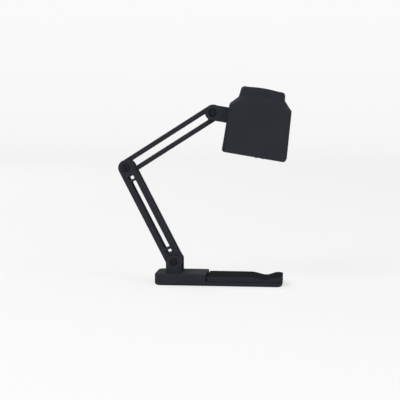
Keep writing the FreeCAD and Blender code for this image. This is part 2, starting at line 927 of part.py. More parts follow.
def contact_plus():
    """Strip that bears on the inner cell and runs down the well's floor to the board."""
    inner = well_bottom - well_floor
    top = well_centre_height + contact_reach
    bend = well_centre_height - contact_tail
    return contact_profile([
        (inner - contact_thickness, board_top), (inner, board_top), (inner, bend - contact_thickness),
        (cells_from, bend - contact_thickness), (cells_from, top), (well_bottom, top), (well_bottom, bend),
        (inner - contact_thickness, bend)])


def contact_minus():
    """Strip that bears on the rim of the inner cell."""
    rim = well_centre_height - cell_radius
    start = cells_from + cell_step_height + contact_fit
    return contact_profile([
        (start, board_top), (start + contact_thickness, board_top),
        (start + contact_thickness, rim - contact_thickness),
        (start + contact_shelf, rim - contact_thickness),
        (start + contact_shelf, rim), (start, rim)])


def contact_slots():
    """Openings in the well for both contacts."""
    half = contact_width / 2 + contact_fit
    bend = well_centre_height - contact_tail
    left = well_centre_distance - half
    right = well_centre_distance + half
    floor = block(
        left, right, well_bottom - well_floor - overrun, well_bottom + contact_fit,
        bend - contact_thickness - contact_fit, bend + contact_fit)
    start = cells_from + cell_step_height
    wall = block(
        left, right, start, start + contact_shelf + 2 * contact_fit, board_top - overrun,
        well_centre_height - cell_radius)
    return floor.fuse(wall)


def cell_door():
    """Round door with a ring that screws into the well and a slot for a coin."""
    body = rod(well_axis, door_radius, door_inner, shade_half)
    body = body.fuse(tube(well_axis, door_radius, bore_radius, ring_end, door_inner))
    slot = block(
        well_axis.x - coin_slot_length / 2, well_axis.x + coin_slot_length / 2,
        shade_half - coin_slot_depth, shade_half + overrun,
        well_axis.z - coin_slot_width / 2, well_axis.z + coin_slot_width / 2)
    return body.cut(slot).removeSplitter()


def on_head(shape):
    """Carry a piece of the head to the wrist and tilt it."""
    shape = shape.copy()
    shape.translate(-wrist_axis)
    return posed(shape, wrist, -head_tilt)


os.makedirs("parts", exist_ok=True)

# Clip
save("base_housing", base_housing())
save("jaw_pin", jaw_pin())
save("lower_grip", grip(0))
screw_end = ear_outer + nut_height - plate_recess + pin_end
save("base_screw", hinge_screw(base_pivot, plate_recess - ear_outer, screw_end))
save("base_nut", nut(base_pivot, ear_outer - plate_recess))
save("base_washers", washer_pair(base_pivot, plate_outer))
save("clip_jaw", clip_jaw())
save("jaw_spring", jaw_spring())

# Arms
elbow_axis = side_point(lower_arm_length, 0)
lower_pieces = {
    "lower_arm_front": lower_arm_front(),
    "lower_arm_back": lower_arm_back(),
    "arm_sleeve": tube(side_point(0, 0), sleeve_radius, hole_radius, -plate_inner, plate_inner),
    "elbow_screw": hinge_screw(elbow_axis, plate_recess - plate_outer, plate_outer + pin_end),
    "elbow_nut": nut(elbow_axis, plate_outer - nut_height),
    "elbow_washers": washer_pair(elbow_axis, upper_arm_thickness / 2),
}
for name, shape in lower_pieces.items():
    save(name, posed(shape, base_pivot, lower_arm_angle))
save("upper_arm", posed(upper_arm(), elbow, upper_arm_angle))

# Head
head_pieces = {
    "neck_fork": neck_fork(),
    "neck_screws": neck_screws(),
    "head_screw": hinge_screw(wrist_axis, cheek_recess - cheek_outer, cheek_outer + pin_end),
    "head_nut": nut(wrist_axis, cheek_outer - nut_height),
    "head_washers": washer_pair(wrist_axis, upper_arm_thickness / 2),
    "shade": shade(),
    "shade_cap": shade_cap(),
    "switch_button": switch_button(),
    "switch_body": switch_body(),
    "switch_leads": switch_leads(),
    "reflector": reflector(),
    "led_board": led_board(),
    "board_screws": board_screws(),
    "leds": leds(),
    "coin_cells": coin_cells(),
    "contact_plus": contact_plus(),
    "contact_minus": contact_minus(),
    "cell_door": cell_door(),
}
for name, shape in head_pieces.items():
    save(name, on_head(shape))
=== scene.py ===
# %% [markdown]
# # A folding clip-on reading lamp
# The lamp is a spring clip, two slotted arms and a flat-sided bell-shaped head, all in black plastic.
# Almost every solid comes from the CAD model, which is loaded here as a fixed frame. This lesson adds
# what the frame lacks: the finish of each material, the tiny cups inside the clear diodes, the leaning
# shoulders of the shade, the walls at the tip of the clip's jaw, and a small studio with a floor, lamps
# and a camera.

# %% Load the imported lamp
import json
import math

import bmesh
import bpy
import numpy as np
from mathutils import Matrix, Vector


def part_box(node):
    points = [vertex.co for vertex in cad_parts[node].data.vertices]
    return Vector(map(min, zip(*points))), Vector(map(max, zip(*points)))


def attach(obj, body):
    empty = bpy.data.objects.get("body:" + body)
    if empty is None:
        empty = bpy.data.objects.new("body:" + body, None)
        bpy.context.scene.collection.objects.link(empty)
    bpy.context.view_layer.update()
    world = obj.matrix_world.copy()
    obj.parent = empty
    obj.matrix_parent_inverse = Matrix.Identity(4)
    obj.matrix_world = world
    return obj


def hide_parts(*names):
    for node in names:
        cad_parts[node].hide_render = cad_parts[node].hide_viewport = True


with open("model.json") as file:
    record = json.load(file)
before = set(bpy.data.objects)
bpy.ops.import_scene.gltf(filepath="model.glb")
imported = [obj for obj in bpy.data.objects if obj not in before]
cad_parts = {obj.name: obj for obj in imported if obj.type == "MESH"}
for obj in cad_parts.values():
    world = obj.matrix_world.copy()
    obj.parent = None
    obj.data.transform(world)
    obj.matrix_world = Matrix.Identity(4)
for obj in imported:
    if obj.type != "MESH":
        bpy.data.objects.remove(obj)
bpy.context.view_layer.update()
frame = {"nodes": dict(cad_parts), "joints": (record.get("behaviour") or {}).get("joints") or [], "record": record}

MM = 0.001
print("CAD nodes:", len(frame["nodes"]))

# %% [markdown]
# ## Shader maths as plain expressions
# A finish is a small sum: a dark tone plus a little grain, or a roughness that drifts.
# Wiring Math nodes by hand hides that sum, so one class wraps a socket and lets Python's own
# operators add the nodes. Any other node comes from its one method, which takes the node's type,
# its settings and what goes into its sockets.

# %% A socket that can be added and multiplied
class Value:
    """One output socket of a node tree. Arithmetic on it adds the Math node that works it out."""

    def __init__(self, tree, socket):
        self.tree = tree
        self.socket = socket

    def node(self, kind, settings, inputs, output=0):
        """Add a node: its settings first, then a number, colour or Value for each socket named."""
        made = self.tree.nodes.new(kind)
        for name, setting in settings.items():
            setattr(made, name, setting)
        for name, given in inputs.items():
            if isinstance(given, Value):
                self.tree.links.new(given.socket, made.inputs[name])
            else:
                made.inputs[name].default_value = given
        return Value(self.tree, made.outputs[output])

    def maths(self, operation, *terms):
        """Add a Math node for one or two terms, each a number or a Value."""
        return self.node("ShaderNodeMath", {"operation": operation}, dict(enumerate(terms)))

    def __abs__(self):
        return self.maths("ABSOLUTE", self)

    def __add__(self, other):
        return self.maths("ADD", self, other)

    def __sub__(self, other):
        return self.maths("SUBTRACT", self, other)

    def __rsub__(self, other):
        return self.maths("SUBTRACT", other, self)

    def __mul__(self, other):
        return self.maths("MULTIPLY", self, other)

    __radd__ = __add__
    __rmul__ = __mul__


print("Value adds, subtracts, multiplies and takes the size of a number")

# %% [markdown]
# ## Helpers that every finish shares
# A finish starts from one Principled shader. Numbers that are the same all over go straight onto its
# sockets. Patterns read Object coordinates, which are the lamp's own metres, so the grain stays on the
# plastic when a hinge turns and has a real size: a scale of 1000 gives features of about a millimetre.

# %% A new finish and what feeds it
finishes = {}


def new_finish(name, constants):
    """Material with one Principled shader and a Value that holds the place on the lamp in metres."""
    finish = bpy.data.materials.new(name)
    finish.use_nodes = True
    shader = finish.node_tree.nodes["Principled BSDF"]
    for socket, constant in constants.items():
        shader.inputs[socket].default_value = constant
    surface = Value(finish.node_tree, shader.outputs["BSDF"])
    place = surface.node("ShaderNodeTexCoord", {}, {}, "Object")
    return finish, shader, place


def feed(receiver, inputs):
    """Link Values into the named sockets of a shader or another node."""
    for socket, value in inputs.items():
        value.tree.links.new(value.socket, receiver.inputs[socket])


print("finishes so far:", len(finishes))

# %% Noise and mixtures of numbers
SMOOTH = 0.0
FINE = 2.0
CLOUDY = 3.0
DUSTY = 4.0


def noise(place, size, detail=FINE):
    """Soft noise between 0 and 1 whose spots are about one size across."""
    return place.node("ShaderNodeTexNoise", {}, {"Vector": place, "Scale": 1 / size, "Detail": detail})


def mixed(first, second, share):
    """Share of the first pattern and the rest of the second: share * first + (1 - share) * second."""
    return share * first + (1 - share) * second


def between(pattern, low, high):
    """Number that runs from low to high as the pattern goes from 0 to 1."""
    return low + (high - low) * pattern


def length(vector):
    """Length of a vector: the root of the sum of its squares."""
    return vector.node("ShaderNodeVectorMath", {"operation": "LENGTH"}, {0: vector}, "Value")


print("noise details from", SMOOTH, "to", DUSTY)

# %% Blended colours and bumps
# A Mix node has its sockets for numbers, vectors and colours in one row. These are the colours' own.
MIX_SHARE = 0
MIX_FIRST = 6
MIX_SECOND = 7
MIX_RESULT = 2
OPAQUE = 1.0


def blend(share, first, second):
    """Colour that runs from the first to the second as the share goes from 0 to 1."""
    first, second = (tone if isinstance(tone, Value) else (*tone, OPAQUE) for tone in (first, second))
    inputs = {MIX_SHARE: share, MIX_FIRST: first, MIX_SECOND: second}
    return share.node("ShaderNodeMix", {"data_type": "RGBA"}, inputs, MIX_RESULT)


def bump(height, depth, strength):
    """Normal of a surface whose relief is the height, one depth from low to high."""
    inputs = {"Height": height, "Distance": depth, "Strength": strength}
    return height.node("ShaderNodeBump", {}, inputs)


print("colours blend in sockets", MIX_FIRST, "and", MIX_SECOND)

# %% [markdown]
# ## Black moulded plastic
# The arms, the clip and the head are ABS from a mould with a fine spark-eroded skin. The skin is almost
# black, a little blue, and scatters light into a soft sheen. A photograph of plastic could be wrapped
# round it, but two noises do it at any distance: a fine one for the grain and a broad one for the
# handling that makes some places duller than others.

# %% Moulded plastic
RESIN_INDEX = 1.5
PLASTIC_GRAIN = 0.22 * MM
PLASTIC_DRIFT = 14 * MM
GRAIN_SHARE = 0.5
GRAIN_DEPTH = 0.012 * MM
GRAIN_STRENGTH = 0.6
GRAIN_DULLNESS = 0.08
DRIFT_DULLNESS = 0.10


def plastic_patterns(place):
    """Grain of the mould, drift of the handling, and spots that are half grain and half drift."""
    grain = noise(place, PLASTIC_GRAIN)
    drift = noise(place, PLASTIC_DRIFT, CLOUDY)
    return grain, drift, mixed(grain, drift, GRAIN_SHARE)


def moulded_plastic(name, dark, light, dullness, sheen):
    """Colour = dark to light by the spots; roughness = dullness plus a little drift and grain."""
    finish, shader, place = new_finish(name, {"Specular IOR Level": sheen, "IOR": RESIN_INDEX})
    grain, drift, spots = plastic_patterns(place)
    feed(shader, {
        "Base Color": blend(spots, dark, light),
        "Roughness": dullness + DRIFT_DULLNESS * drift + GRAIN_DULLNESS * grain,
        "Normal": bump(grain, GRAIN_DEPTH, GRAIN_STRENGTH)})
    return finish


print("grain of", round(PLASTIC_GRAIN / MM, 2), "mm and drift of", round(PLASTIC_DRIFT / MM, 2), "mm")

# %% Body, switch and washers
BODY_DARK = (0.0175, 0.0193, 0.0240)
BODY_LIGHT = (0.0322, 0.0355, 0.0441)

finishes["black_plastic"] = moulded_plastic(
    "black plastic", dark=BODY_DARK, light=BODY_LIGHT, dullness=0.58, sheen=0.03)
finishes["switch_plastic"] = moulded_plastic(
    "switch plastic", dark=(0.03, 0.03, 0.032), light=(0.05, 0.05, 0.052), dullness=0.45, sheen=0.3)
finishes["nylon"] = moulded_plastic(
    "black nylon", dark=(0.02, 0.02, 0.02), light=(0.035, 0.035, 0.034), dullness=0.35, sheen=0.3)
print("plastics:", [finish.name for finish in finishes.values()])

# %% [markdown]
# ## Dark-topped jaw
# The thumb presses the top of the clip's jaw. That face is made darker and duller than the housing
# beside it. The sides are the housing's plastic, a shade deeper. Two materials on one mesh would need
# its faces sorted, so one finish does both. How far a point lies beyond the centre of the plan's
# rounded corner says whether it is on the outline of the jaw, which is plastic, or on the darker top
# inside.

# %% Outline of the jaw
JAW_CORNER = 4.0 * MM
OUTLINE_MARGIN = 0.15 * MM

jaw_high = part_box("clip_jaw")[1]
corner_x = jaw_high.x - JAW_CORNER
corner_y = jaw_high.y - JAW_CORNER


def on_outline(place):
    """1 where the length of (max(x - corner x, 0), max(|y| - corner y, 0)) reaches the radius, else 0."""
    along = place.node("ShaderNodeSeparateXYZ", {}, {"Vector": place}, "X")
    across = place.node("ShaderNodeSeparateXYZ", {}, {"Vector": place}, "Y")
    beyond_x = place.maths("MAXIMUM", along - corner_x, 0.0)
    beyond_y = place.maths("MAXIMUM", abs(across) - corner_y, 0.0)
    reach = length(place.node("ShaderNodeCombineXYZ", {}, {"X": beyond_x, "Y": beyond_y}))
    return place.maths("GREATER_THAN", reach, JAW_CORNER - OUTLINE_MARGIN)


print("jaw reaches", round(jaw_high.y / MM, 2), "mm to each side of its middle")

# %% Darker top, plastic at the sides
# The top of the jaw gets these darker colours and a duller surface than its sides.
TOP_DARK = (0.0045, 0.0057, 0.0066)
TOP_LIGHT = (0.0081, 0.0103, 0.0118)
TOP_DULLNESS = 0.82
SIDE_POLISH = 0.28
SIDE_TONE = 0.90
side_dark, side_light = SIDE_TONE * np.array((BODY_DARK, BODY_LIGHT))

finish, shader, place = new_finish("dark-topped jaw", {"Specular IOR Level": 0.02})
grain, drift, spots = plastic_patterns(place)
side = on_outline(place)
top_colour = blend(spots, TOP_DARK, TOP_LIGHT)
side_colour = blend(spots, side_dark, side_light)
feed(shader, {
    "Base Color": blend(side, top_colour, side_colour),
    "Roughness": TOP_DULLNESS + DRIFT_DULLNESS * drift - SIDE_POLISH * side,
    "Normal": bump(grain, GRAIN_DEPTH, GRAIN_STRENGTH)})
finishes["jaw_skin"] = finish
print("made", finish.name)

# %% [markdown]
# ## White reflector
# The dish inside the rim is smooth white plastic. White is never one colour: a slow drift from warm
# to cool keeps it from looking like paper, and a light coat gives it a mould-polished shine.

# %% White reflector plastic
DISH_DRIFT = 9 * MM
DISH_WARM = (0.74, 0.73, 0.70)
DISH_COOL = (0.84, 0.85, 0.85)
DISH_ROUGHNESS = (0.22, 0.34)
RIPPLE_DEPTH = 0.02 * MM
RIPPLE_STRENGTH = 0.3

coat = {"Coat Weight": 0.3, "Coat Roughness": 0.12}
finish, shader, place = new_finish("white reflector plastic", coat)
drift = noise(place, DISH_DRIFT, CLOUDY)
feed(shader, {
    "Base Color": blend(drift, DISH_WARM, DISH_COOL),
    "Roughness": between(drift, *DISH_ROUGHNESS),
    "Normal": bump(drift, RIPPLE_DEPTH, RIPPLE_STRENGTH)})
finishes["white_plastic"] = finish
print("made", finish.name)

# %% [markdown]
# ## Metals
# The hinge screws and nuts are blackened steel. The clip's pin and spring, the sleeve and the small
# fixing screws are bright drawn steel, the cells are plated cans and their strips are stamped brass.
# One recipe serves them all: metal colour from a dark to a light tone, and fine scratches from a noise
# that a Mapping node draws out along one direction.

# %% Worked metal
SCRATCH_WIDTH = 0.12 * MM
SCRATCH_DEPTH = 0.004 * MM
SCRATCH_STRENGTH = 0.5
SCRATCH_SHARE = 0.6
PATCH_SIZE = 2.5 * MM
PATCH_DULLNESS = 0.15


def worked_metal(name, drawn, dark, light, dullness, metallic=1.0):
    """Colour = dark to light by scratches and patches; roughness = dullness plus the patches alone."""
    finish, shader, place = new_finish(name, {"Metallic": metallic})
    pulled = place.node("ShaderNodeMapping", {}, {"Vector": place, "Scale": drawn})
    scratches = noise(pulled, SCRATCH_WIDTH)
    patches = noise(place, PATCH_SIZE)
    feed(shader, {
        "Base Color": blend(mixed(scratches, patches, SCRATCH_SHARE), dark, light),
        "Roughness": dullness + PATCH_DULLNESS * patches,
        "Normal": bump(scratches, SCRATCH_DEPTH, SCRATCH_STRENGTH)})
    return finish


print("scratches", round(SCRATCH_WIDTH / MM, 2), "mm wide on patches of", round(PATCH_SIZE / MM, 2), "mm")

# %% Steels, can and brass
DRAWN_OUT = 0.1
ALONG_X = (DRAWN_OUT, 1.0, 1.0)
ALONG_Y = (1.0, DRAWN_OUT, 1.0)
ALONG_Z = (1.0, 1.0, DRAWN_OUT)

finishes["black_steel"] = worked_metal(
    "blackened steel", ALONG_Y,
    dark=(0.010, 0.010, 0.012), light=(0.024, 0.024, 0.027), dullness=0.34, metallic=0.9)
finishes["bright_steel"] = worked_metal(
    "drawn steel", ALONG_Y, dark=(0.42, 0.42, 0.44), light=(0.62, 0.62, 0.64), dullness=0.22)
finishes["cell_can"] = worked_metal(
    "plated can", ALONG_X, dark=(0.55, 0.55, 0.54), light=(0.72, 0.72, 0.71), dullness=0.25)
finishes["contact_brass"] = worked_metal(
    "stamped brass", ALONG_Z, dark=(0.5, 0.36, 0.13), light=(0.72, 0.55, 0.25), dullness=0.26)
print("finishes so far:", list(finishes))

# %% [markdown]
# ## Rubber grip
# The pad in the lower jaw is soft black rubber that keeps the clip from sliding. Rubber is duller and a
# little greyer than the plastic beside it, and it holds dust. Its pebbled skin is far finer than a
# mesh could carry, so a small noise does it as a bump, and a cloudier one lays the dust.

# %% Pebbled rubber
PEBBLE_SIZE = 0.35 * MM
PEBBLE_DEPTH = 0.03 * MM
PEBBLE_STRENGTH = 1.0
PEBBLE_SHARE = 0.4
DUST_SIZE = 3 * MM
RUBBER_CLEAN = (0.014, 0.014, 0.014)
RUBBER_DUSTY = (0.034, 0.034, 0.033)
RUBBER_ROUGHNESS = (0.68, 0.88)

finish, shader, place = new_finish("pebbled rubber", {"Specular IOR Level": 0.2})
pebbles = noise(place, PEBBLE_SIZE)
dust = noise(place, DUST_SIZE, DUSTY)
feed(shader, {
    "Base Color": blend(mixed(pebbles, dust, PEBBLE_SHARE), RUBBER_CLEAN, RUBBER_DUSTY),
    "Roughness": between(dust, *RUBBER_ROUGHNESS),
    "Normal": bump(pebbles, PEBBLE_DEPTH, PEBBLE_STRENGTH)})
finishes["grip_rubber"] = finish
print("made", finish.name)

# %% [markdown]
# ## Clear diodes
# Each diode is a drop of clear epoxy, cast round its metal cup. Glass is the nearest shader: almost
# full transmission, an index of 1.5 and a surface that is almost smooth. A faint noise in the roughness
# stands for the small flow marks of the cast.

# %% Clear epoxy
FLOW_SIZE = 0.8 * MM
EPOXY_COOL = (0.88, 0.90, 0.92)
EPOXY_WARM = (0.97, 0.97, 0.96)
EPOXY_ROUGHNESS = (0.04, 0.10)

finish, shader, place = new_finish("clear epoxy", {"Transmission Weight": 0.92, "IOR": RESIN_INDEX})
flow = noise(place, FLOW_SIZE)
feed(shader, {
    "Base Color": blend(flow, EPOXY_COOL, EPOXY_WARM),
    "Roughness": between(flow, *EPOXY_ROUGHNESS)})
finishes["diode"] = finish
print("made", finish.name)

# %% [markdown]
# ## Light board and leads
# The board is glass-filled resin under green lacquer, and copper tracks show through it as paler bands.
# A brick pattern is too regular for tracks, so a stepped noise is used: where it is high, there is
# copper. The leads are red rubber tubing with a slight chalky bloom.

# %% Lacquered board
WEAVE_SIZE = 0.5 * MM
TRACK_SIZE = 4 * MM
TRACK_LEVEL = 0.5
TRACK_SHARE = 0.7
TRACK_DEPTH = 0.03 * MM
TRACK_STRENGTH = 0.5
LACQUER_DARK = (0.01, 0.09, 0.035)
LACQUER_LIGHT = (0.05, 0.24, 0.09)
LACQUER_ROUGHNESS = (0.35, 0.50)

finish, shader, place = new_finish("lacquered board", {"Coat Weight": 0.4, "Coat Roughness": 0.2})
weave = noise(place, WEAVE_SIZE)
copper = place.maths("GREATER_THAN", noise(place, TRACK_SIZE, SMOOTH), TRACK_LEVEL)
feed(shader, {
    "Base Color": blend(mixed(copper, weave, TRACK_SHARE), LACQUER_DARK, LACQUER_LIGHT),
    "Roughness": between(weave, *LACQUER_ROUGHNESS),
    "Normal": bump(copper, TRACK_DEPTH, TRACK_STRENGTH)})
finishes["board"] = finish
print("made", finish.name)

# %% Lead sheath
BLOOM_SIZE = 1.5 * MM
LEAD_RED = (0.30, 0.02, 0.015)
LEAD_CHALKY = (0.46, 0.05, 0.04)
LEAD_ROUGHNESS = (0.45, 0.65)

finish, shader, place = new_finish("lead sheath", {"Specular IOR Level": 0.35})
bloom = noise(place, BLOOM_SIZE, CLOUDY)
feed(shader, {
    "Base Color": blend(bloom, LEAD_RED, LEAD_CHALKY),
    "Roughness": between(bloom, *LEAD_ROUGHNESS)})
finishes["lead_sheath"] = finish
print("finishes in all:", len(finishes))

# %% [markdown]
# ## Put the finishes on
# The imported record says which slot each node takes, so the finishes go on by that list and no piece
# is forgotten. Only the material slots change. The nodes' meshes and places stay as the CAD made them.

# %% Dress the CAD nodes
for subpart in frame["record"]["subparts"]:
    node = frame["nodes"][subpart["node"]]
    for slot in node.material_slots:
        slot.material = finishes[subpart["material_slot"]]

# %% [markdown]
# ## Cups inside the diodes
# Through the clear epoxy one sees a tiny bright cup on a post. The light chip on its floor is too small
# to show. The cup could be a solid of revolution in CAD, but nothing ever touches it, so it is made
# here. A profile of radius and height is turned about the diode's axis: every profile point times every
# angle, as one grid. The axis and the places come from the frame: the switch slides down the head, and
# the diodes' own vertices say where each one stands.

# %% Profile of a cup
# Heights are measured along the axis from the diode's tip, which the mouth of the cup faces.
CUP_MOUTH = 1.75 * MM
LIP_BACK = 1.95 * MM
CUP_FLOOR = 2.35 * MM
CUP_BACK = 2.6 * MM
POST_START = 2.8 * MM
POST_END = 4.2 * MM
FLOOR_RADIUS = 0.28 * MM
POST_RADIUS = 0.30 * MM
BACK_RADIUS = 0.42 * MM
MOUTH_RADIUS = 0.62 * MM
LIP_RADIUS = 0.70 * MM
FLOOR_EDGE_WIDTH = 0.06 * MM
FLOOR_EDGE_HEIGHT = 0.03 * MM

CUP_PROFILE = (
    (0.0, CUP_FLOOR), (FLOOR_RADIUS, CUP_FLOOR),
    (FLOOR_RADIUS + FLOOR_EDGE_WIDTH, CUP_FLOOR - FLOOR_EDGE_HEIGHT),
    (MOUTH_RADIUS, CUP_MOUTH), (LIP_RADIUS, CUP_MOUTH), (LIP_RADIUS, LIP_BACK),
    (BACK_RADIUS, CUP_BACK), (POST_RADIUS, POST_START), (POST_RADIUS, POST_END), (0.0, POST_END))
print("cup profile:", len(CUP_PROFILE), "points")

# %% Turned profile
CUP_AROUND = 32
SIDEWAYS = (0.0, 1.0, 0.0)


def grid_faces(rows, columns):
    """Quads of a grid that closes on itself along its columns."""
    row, column = np.meshgrid(np.arange(rows - 1), np.arange(columns), indexing="ij")
    beside = (column + 1) % columns
    quads = np.stack((
        row * columns + column, row * columns + beside,
        (row + 1) * columns + beside, (row + 1) * columns + column), -1)
    return quads.reshape(-1, 4)


def turned(profile, centre, up, around):
    """Point = centre + height * up + radius * (cos a * across + sin a * aside) for each angle a."""
    radius, height = np.asarray(profile, float).T
    up = np.asarray(up, float)
    across = np.cross(SIDEWAYS, up)
    aside = np.cross(up, across)
    angle = np.linspace(0, 2 * np.pi, around, endpoint=False)
    ring = np.cos(angle)[:, None] * across + np.sin(angle)[:, None] * aside
    points = centre + height[:, None, None] * up + radius[:, None, None] * ring[None]
    return points.reshape(-1, 3), grid_faces(len(radius), around)


print("a turned cup has", len(grid_faces(len(CUP_PROFILE), CUP_AROUND)), "faces")

# %% Meshes and their corners
POLE_WELD = 0.001 * MM
SHARP_ANGLE = math.radians(40)


def corner_points(mesh):
    """Corners of a mesh, one row of x, y and z for each."""
    flat = np.empty(3 * len(mesh.vertices))
    mesh.vertices.foreach_get("co", flat)
    return flat.reshape(-1, 3)


def new_object(name, mesh, finish):
    """Object at the origin that shows a mesh in one finish."""
    mesh.materials.append(finish)
    made = bpy.data.objects.new(name, mesh)
    bpy.context.scene.collection.objects.link(made)
    return made


def smooth_object(name, points, faces, finish):
    """Object with its poles welded, and with smooth faces that part where they meet at a sharp angle."""
    mesh = bpy.data.meshes.new(name)
    mesh.from_pydata(points.tolist(), [], faces.tolist())
    welded = bmesh.new()
    welded.from_mesh(mesh)
    bmesh.ops.remove_doubles(welded, verts=welded.verts, dist=POLE_WELD)
    welded.to_mesh(mesh)
    welded.free()
    mesh.polygons.foreach_set("use_smooth", np.ones(len(mesh.polygons), bool))
    mesh.set_sharp_from_angle(angle=SHARP_ANGLE)
    return new_object(name, mesh, finish)


print("the diodes have", len(corner_points(frame["nodes"]["leds"].data)), "corners")

# %% Where the diodes stand
press = next(joint for joint in frame["joints"] if joint["name"] == "switch_press")
head_up = -np.array(press["axis"], float)
head_along = np.cross(SIDEWAYS, head_up)


def diode_tips():
    """Lowest point of each diode's axis: corners parted at the middle of their spread along the head."""
    corners = corner_points(frame["nodes"]["leds"].data)
    along = corners @ head_along
    middle = (along.min() + along.max()) / 2
    tips = []
    for chosen in (along < middle, along > middle):
        group = corners[chosen]
        spread = group @ head_along
        lowest = (group @ head_up).min()
        tips.append(head_along * (spread.min() + spread.max()) / 2 + head_up * lowest)
    return tips


print("diode tips:", [tuple(np.round(tip / MM, 2).tolist()) for tip in diode_tips()], "mm")

# %% Diode cups
cups = [turned(CUP_PROFILE, tip, head_up, CUP_AROUND) for tip in diode_tips()]
points = np.concatenate([cup[0] for cup in cups])
faces = np.concatenate([cup[1] + number * len(cup[0]) for number, cup in enumerate(cups)])
diode_cups = smooth_object("diode_cups", points, faces, finishes["bright_steel"])
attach(diode_cups, "head")
print("diode cups:", len(diode_cups.data.polygons), "faces")

# %% [markdown]
# ## Shoulders of the shade
# On the real shade the flat near and far walls end in an arch, and above it a shoulder leans in to the
# cap all round. The CAD solid carries its flat walls straight up. A new shell could be lofted, but then
# the door's mouth and the inside would have to be made again. So a copy of the solid's own mesh is
# merged, cut into small cells by planes, and drawn in towards the middle plane above the arch.

# %% Cells on a copy of the shade
# The rows of cells start at a height over the rim. A wall is what lies this far from the middle plane.
CELL_LENGTH = 1.0 * MM
CELL_HEIGHT = 0.5 * MM
CELLS_FROM = 27.0 * MM
WALL_FROM = 8.0 * MM


def cut_walls(shell, way, places):
    """Split the near and far walls by planes across a way, at these distances along it."""
    for place in places:
        walls = [face for face in shell.faces if abs(face.calc_center_median().y) > WALL_FROM]
        edges = dict.fromkeys(edge for face in walls for edge in face.edges)
        corners = dict.fromkeys(corner for face in walls for corner in face.verts)
        bmesh.ops.bisect_plane(
            shell, geom=[*walls, *edges, *corners], dist=POLE_WELD,
            plane_co=Vector(way) * place, plane_no=Vector(way))


solid = frame["nodes"]["shade"].data
along = corner_points(solid) @ head_along
height = corner_points(solid) @ head_up
back_wall, front_wall = along.min(), along.max()
rim, shade_top = height.min(), height.max()

shell = bmesh.new()
shell.from_mesh(solid)
bmesh.ops.remove_doubles(shell, verts=shell.verts, dist=POLE_WELD)
print("shade:", len(shell.verts), "corners before the cuts")
cut_walls(shell, head_along, np.arange(back_wall, front_wall, CELL_LENGTH))
cut_walls(shell, head_up, np.arange(rim + CELLS_FROM, shade_top, CELL_HEIGHT))
bmesh.ops.triangulate(shell, faces=shell.faces)
bmesh.ops.dissolve_degenerate(shell, edges=shell.edges, dist=POLE_WELD)
print("shade:", len(shell.verts), "corners after the cuts")

# %% Draw the shoulders in
# The arch's centre is measured from the back wall and its crown from the rim. At the back wall it has
# fallen by its drop.
ARCH_CENTRE = 19.6 * MM
ARCH_CROWN = 34.2 * MM
ARCH_DROP = 5.9 * MM
SHOULDER_SLOPE = 0.6
CREASE_ROUNDING = 0.4 * MM


def drawn_in(points):
    """Depth shrinks by slope * (over + root(over^2 + rounding^2)) / 2, where over is the height above
    the arch, and the arch = crown - drop * (along / centre - 1)^2."""
    along = points @ head_along - back_wall
    height = points @ head_up - rim
    arch = ARCH_CROWN - ARCH_DROP * (along / ARCH_CENTRE - 1) ** 2
    over = height - arch
    inset = SHOULDER_SLOPE * (over + np.sqrt(over ** 2 + CREASE_ROUNDING ** 2)) / 2
    half = np.abs(points[:, 1]).max()
    return points * np.column_stack((np.ones_like(inset), 1 - inset / half, np.ones_like(inset)))


mesh = bpy.data.meshes.new("shade_shell")
shell.to_mesh(mesh)
shell.free()
mesh.vertices.foreach_set("co", drawn_in(corner_points(mesh)).ravel())
shade_shell = new_object("shade_shell", mesh, finishes["black_plastic"])
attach(shade_shell, "head")
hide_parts("shade")
print("shade shell:", len(mesh.polygons), "faces")

# %% [markdown]
# ## Walls at the tip of the jaw
# The clip's jaw is an upturned tray, whose side walls run on to the tip and round its corners. A block
# could be cut to fit, but the wall has one thickness all along, so its four-cornered section is carried
# along a path: a straight stretch, then a quarter circle. The top follows the wavy plate and is tucked
# into it, the foot stays clear of the lower jaw, and the front between the two corners stays open.

# %% Underside of the jaw's plate
# Setbacks are measured from the tip of the jaw. The plate and its wave have the CAD solid's own sizes.
PINCH_SETBACK = 10.5 * MM
LIP_SETBACK = 2.6 * MM
PLATE_THICKNESS = 1.7 * MM

pinch_x = jaw_high.x - PINCH_SETBACK
lip_x = jaw_high.x - LIP_SETBACK
lower_jaw_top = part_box("lower_grip")[1].z


def plate_underside(x):
    """Height = pinch to lip by the smooth step 3 s^2 - 2 s^3, where s runs from 0 to 1 between them."""
    step = np.clip((x - pinch_x) / (lip_x - pinch_x), 0, 1)
    rise = jaw_high.z - PLATE_THICKNESS - lower_jaw_top
    return lower_jaw_top + rise * (3 * step ** 2 - 2 * step ** 3)


print("the plate's underside ends", round(plate_underside(lip_x) / MM, 2), "mm up")

# %% Section carried along the wall
WALL_SETBACK = 9.0 * MM
WALL_THICKNESS = 1.6 * MM
WALL_INSET = 0.05 * MM
WALL_TUCK = 0.5 * MM
WALL_CLEARANCE = 0.3 * MM
WALL_STEPS = 24


def wall_path():
    """Centre and outward way of each step: a straight run, then a quarter circle about its last centre."""
    turn = np.linspace(-np.pi / 2, 0, WALL_STEPS)
    bend = np.column_stack((np.cos(turn), np.sin(turn)))
    way = np.concatenate((np.tile((0.0, -1.0), (WALL_STEPS, 1)), bend))
    run = np.linspace(jaw_high.x - WALL_SETBACK, corner_x, WALL_STEPS)
    centre_x = np.concatenate((run, np.full(WALL_STEPS, corner_x)))
    return np.column_stack((centre_x, np.full(2 * WALL_STEPS, -corner_y))), way


